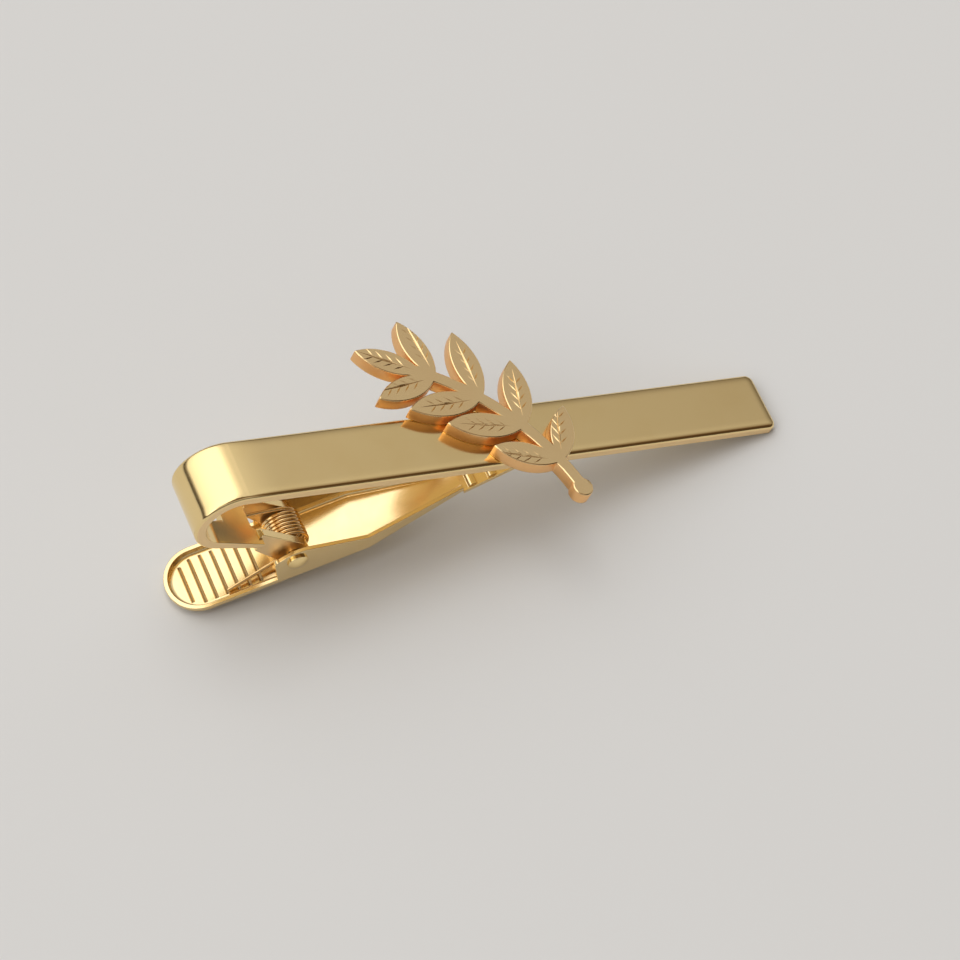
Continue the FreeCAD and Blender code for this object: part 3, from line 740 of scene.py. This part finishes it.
def springPoints(spring):  # hook in the bar's slot, leg, coil round the pin, leg on the thumb pad
    pinX, pinZ = spring["hinge"]
    radius = spring["coilRadius"]
    lean = math.radians(barSet["slope"] - leverSet["slope"])
    topX, topZ = spring["hookX"] - pinX, spring["legZ"] - pinZ
    topAngle = math.atan2(topZ, topX) - math.acos(radius / math.hypot(topX, topZ))
    lowX = spring["restAlong"] * math.cos(lean) - spring["restUp"] * math.sin(lean)
    lowZ = spring["restAlong"] * math.sin(lean) + spring["restUp"] * math.cos(lean)
    lowAngle = math.atan2(lowZ, lowX) + math.acos(radius / math.hypot(lowX, lowZ))
    turns = (topAngle - lowAngle) % (2 * math.pi) / (2 * math.pi) + spring["wholeTurns"]
    rise = spring["closeness"] * turns
    steps = round(turns * spring["pointsPerTurn"])
    outer = radius / math.cos(math.pi / spring["pointsPerTurn"])  # the curve runs inside its points

    def onCoil(share):
        angle = topAngle - 2 * math.pi * turns * share
        x, z = pinX + outer * math.cos(angle), pinZ + outer * math.sin(angle)
        return Vector((x, rise / 2 - rise * share, z))

    def wayAt(angle):
        return Vector((math.sin(angle), 0, -math.cos(angle)))

    hook = Vector((spring["hookX"], 0, spring["legZ"]))
    climb = Vector((0, 0, spring["hookRise"]))
    before = onCoil(0) - wayAt(topAngle) * spring["lead"]
    after = onCoil(1) + wayAt(lowAngle) * spring["lead"]
    rest = Vector((pinX + lowX, spring["restSide"], pinZ + lowZ))
    upper = [hook + climb, hook + climb * spring["hookCurl"], hook,
             hook.lerp(before, spring["legEase"]), before]
    coil = [onCoil(step / steps) for step in range(steps + 1)]
    return upper + coil + [after, after.lerp(rest, 0.5), rest], rise


def makeSpring(spring):
    points, rise = springPoints(spring)
    path = bpy.data.curves.new("torsionSpring", "CURVE")
    path.dimensions = "3D"
    path.resolution_u = spring["smoothness"]
    line = path.splines.new("NURBS")
    line.points.add(len(points) - 1)
    for point, place in zip(line.points, points):
        point.co = (*(barAxes @ (place * mm)), 1)
    line.order_u = spring["order"]
    line.use_endpoint_u = True
    obj = linked("torsionSpring", path)
    values = {"Wire": spring["wire"] * mm, "Sides": spring["sides"]}
    obj = runTree(obj, wireTree(springGold), values)
    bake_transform(obj)
    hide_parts("torsion_spring")
    print(f"torsionSpring: {len(obj.data.polygons)} faces")


makeSpring(springSet)

# the stem is an arc through the plate's own origin;
# veinStart and veinEnd are shares of a leaf, sideVeinFirst and sideVeinLast of its midrib
sprigSet = {
    "turn": 128.0, "place": (-5.2, 1.2), "thickness": 1.3, "edgeRound": 0.09,
    "stemRadius": 21.0, "stemLength": 18.8, "stemSteps": 64,
    "leafFirst": 3.0, "leafPitch": 4.5, "leafPairs": 4, "leafLength": 7.4, "leafAngle": 46.0,
    "topLeaf": 17.6,
    "veinWidth": 0.26, "veinDepth": 0.13, "veinStart": 0.16, "veinEnd": 0.86,
    "sideVeins": 4, "sideVeinFirst": 0.14, "sideVeinLast": 0.68, "sideVeinAngle": 38.0,
    "sideVeinLength": 1.15, "sideVeinWidth": 0.15, "sideVeinDepth": 0.08,
    "levelFacing": 0.999, "wallFacing": 0.25,
}


def blade(tree, length, width, depth):  # a long pointed sliver that cuts a tapering groove
    sliver = addNode(tree, "GeometryNodeMeshUVSphere",
                     (("Segments", 4), ("Rings", 2), ("Radius", 1.0)))
    size = addNode(tree, "ShaderNodeCombineXYZ")
    for label, value, share in (("X", length, 0.5), ("Y", width, 0.5), ("Z", depth, 1.0)):
        tree.links.new(mathNode(tree, "MULTIPLY", value, share), size.inputs[label])
    links = (("Geometry", sliver.outputs[0]), ("Scale", size.outputs[0]))
    return addNode(tree, "GeometryNodeTransform", links).outputs[0]


def veinTree(sprig, material):
    sizes = ["Vein Width", "Vein Depth", "Vein Start", "Vein Length", "Side Vein Length",
             "Side Vein Width", "Side Vein Depth", "Side Vein Angle", "Leaf Angle",
             "Stem Radius", "Stem Start", "Stem Sweep", "Top Leaf"]
    counts = ["Side Veins", "Leaf Pairs"]
    inputs = [(n, "NodeSocketFloat") for n in sizes] + [(n, "NodeSocketInt") for n in counts]
    tree, given, made = newTree("leafVeins", inputs)
    get = given.outputs

    def scaled(label, share):
        return mathNode(tree, "MULTIPLY", get[label], share)

    def alongX(value):
        return addNode(tree, "ShaderNodeCombineXYZ", (("X", value),)).outputs[0]

    def aboutZ(value):
        return addNode(tree, "ShaderNodeCombineXYZ", (("Z", value),)).outputs[0]

    def onVein(share):  # a spot along the midrib
        return alongX(mathNode(tree, "ADD", get["Vein Start"], scaled("Vein Length", share)))

    def moved(shape, place, *turn):
        links = [("Geometry", shape), ("Translation", place)] + [("Rotation", t) for t in turn]
        return addNode(tree, "GeometryNodeTransform", links).outputs[0]

    def planted(points, shape, turn):
        links = (("Points", points.outputs[0]), ("Instance", shape), ("Rotation", turn))
        return addNode(tree, "GeometryNodeInstanceOnPoints", links).outputs[0]

    midrib = blade(tree, get["Vein Length"], get["Vein Width"], get["Vein Depth"])
    midrib = moved(midrib, onVein(0.5))
    sliver = blade(tree, get["Side Vein Length"], get["Side Vein Width"], get["Side Vein Depth"])
    sliver = moved(sliver, alongX(scaled("Side Vein Length", 0.5)))
    row = addNode(tree, "GeometryNodeMeshLine",
                  (("Count", get["Side Veins"]), ("Start Location", onVein(sprig["sideVeinFirst"])),
                   ("Offset", onVein(sprig["sideVeinLast"]))), mode="END_POINTS")
    sides = [planted(row, sliver, aboutZ(scaled("Side Vein Angle", sign))) for sign in (1, -1)]
    leafMarks = joined(tree, midrib, *sides)
    arc = addNode(tree, "GeometryNodeCurveArc",
                  (("Resolution", sprig["stemSteps"]), ("Radius", get["Stem Radius"]),
                   ("Start Angle", get["Stem Start"]), ("Sweep Angle", get["Stem Sweep"])))
    roots = addNode(tree, "GeometryNodeResampleCurve",
                    (("Curve", arc.outputs[0]), ("Count", get["Leaf Pairs"])))
    tangent = tree.nodes.new("GeometryNodeInputTangent")
    onStem = addNode(tree, "FunctionNodeAlignRotationToVector", (("Vector", tangent.outputs[0]),),
                     axis="X", pivot_axis="Z")
    leaves = []
    for sign in (1, -1):
        lean = aboutZ(scaled("Leaf Angle", sign))
        turned = addNode(tree, "FunctionNodeRotateRotation", ((0, onStem.outputs[0]), (1, lean)),
                         rotation_space="LOCAL")
        leaves.append(planted(roots, leafMarks, turned.outputs[0]))
    topX = mathNode(tree, "MULTIPLY", get["Stem Radius"], mathNode(tree, "SINE", get["Top Leaf"]))
    topY = mathNode(tree, "MULTIPLY", get["Stem Radius"], mathNode(tree, "COSINE", get["Top Leaf"]))
    topY = mathNode(tree, "MULTIPLY", topY, -1.0)
    place = addNode(tree, "ShaderNodeCombineXYZ", (("X", topX), ("Y", topY)))
    leaves.append(moved(leafMarks, place.outputs[0], aboutZ(get["Top Leaf"])))
    blades = addNode(tree, "GeometryNodeRealizeInstances", (("Geometry", joined(tree, *leaves)),))
    cut = addNode(tree, "GeometryNodeMeshBoolean",
                  (("Mesh 1", get["Geometry"]), ("Mesh 2", blades.outputs[0]),
                   ("Self Intersection", True)),
                  operation="DIFFERENCE", solver="EXACT")
    endTree(tree, made, cut.outputs[0], material)
    return tree


def crispFaces(mesh, levelFacing):  # the front is a true flat, its edge turns at a clear line
    grid = bmesh.new()
    grid.from_mesh(mesh)
    for edge in grid.edges:
        level = [face.normal.z > levelFacing for face in edge.link_faces]
        if any(level) and not all(level):
            edge.smooth = False
    grid.to_mesh(mesh)
    grid.free()


def makeSprig(sprig):
    plate = linked("laurelSprig", mergedCopy("sprig_plate", "laurelSprig"))
    plate = softEdges(plate, sprig["edgeRound"])
    top = barSet["thickness"] + sprig["thickness"]
    seat = Matrix.Translation(Vector((*sprig["place"], top)) * mm)
    turned = Matrix.Rotation(math.radians(sprig["turn"]), 4, "Z")
    stemCentre = Matrix.Translation(Vector((0, sprig["stemRadius"], 0)) * mm)
    plateAxes = barAxes @ seat @ turned @ stemCentre
    plate.data.transform(plateAxes.inverted())  # veins are cut with the stem's centre as origin

    def onArc(length):  # the angle of a spot along the stem, from its middle
        return (length - sprig["stemLength"] / 2) / sprig["stemRadius"]

    values = {
        "Vein Width": sprig["veinWidth"] * mm,
        "Vein Depth": sprig["veinDepth"] * mm,
        "Vein Start": sprig["leafLength"] * sprig["veinStart"] * mm,
        "Vein Length": sprig["leafLength"] * (sprig["veinEnd"] - sprig["veinStart"]) * mm,
        "Side Vein Length": sprig["sideVeinLength"] * mm,
        "Side Vein Width": sprig["sideVeinWidth"] * mm,
        "Side Vein Depth": sprig["sideVeinDepth"] * mm,
        "Side Vein Angle": math.radians(sprig["sideVeinAngle"]),
        "Leaf Angle": math.radians(sprig["leafAngle"]),
        "Stem Radius": sprig["stemRadius"] * mm,
        "Stem Start": onArc(sprig["leafFirst"]) - math.pi / 2,
        "Stem Sweep": sprig["leafPitch"] * (sprig["leafPairs"] - 1) / sprig["stemRadius"],
        "Top Leaf": onArc(sprig["topLeaf"]),
        "Side Veins": sprig["sideVeins"],
        "Leaf Pairs": sprig["leafPairs"],
    }
    plate = runTree(plate, veinTree(sprig, sprigGold), values)
    mesh = plate.data
    plainShading(mesh)
    mesh.shade_smooth()
    mesh.set_sharp_from_angle(angle=math.radians(meshSet["creaseAngle"]))
    markWalls(mesh, lambda polygon: abs(polygon.normal.z) < sprig["wallFacing"])
    crispFaces(mesh, sprig["levelFacing"])
    mesh.transform(plateAxes)
    finishPiece(plate, sprigGold, "bar", "sprig_plate")


makeSprig(sprigSet)
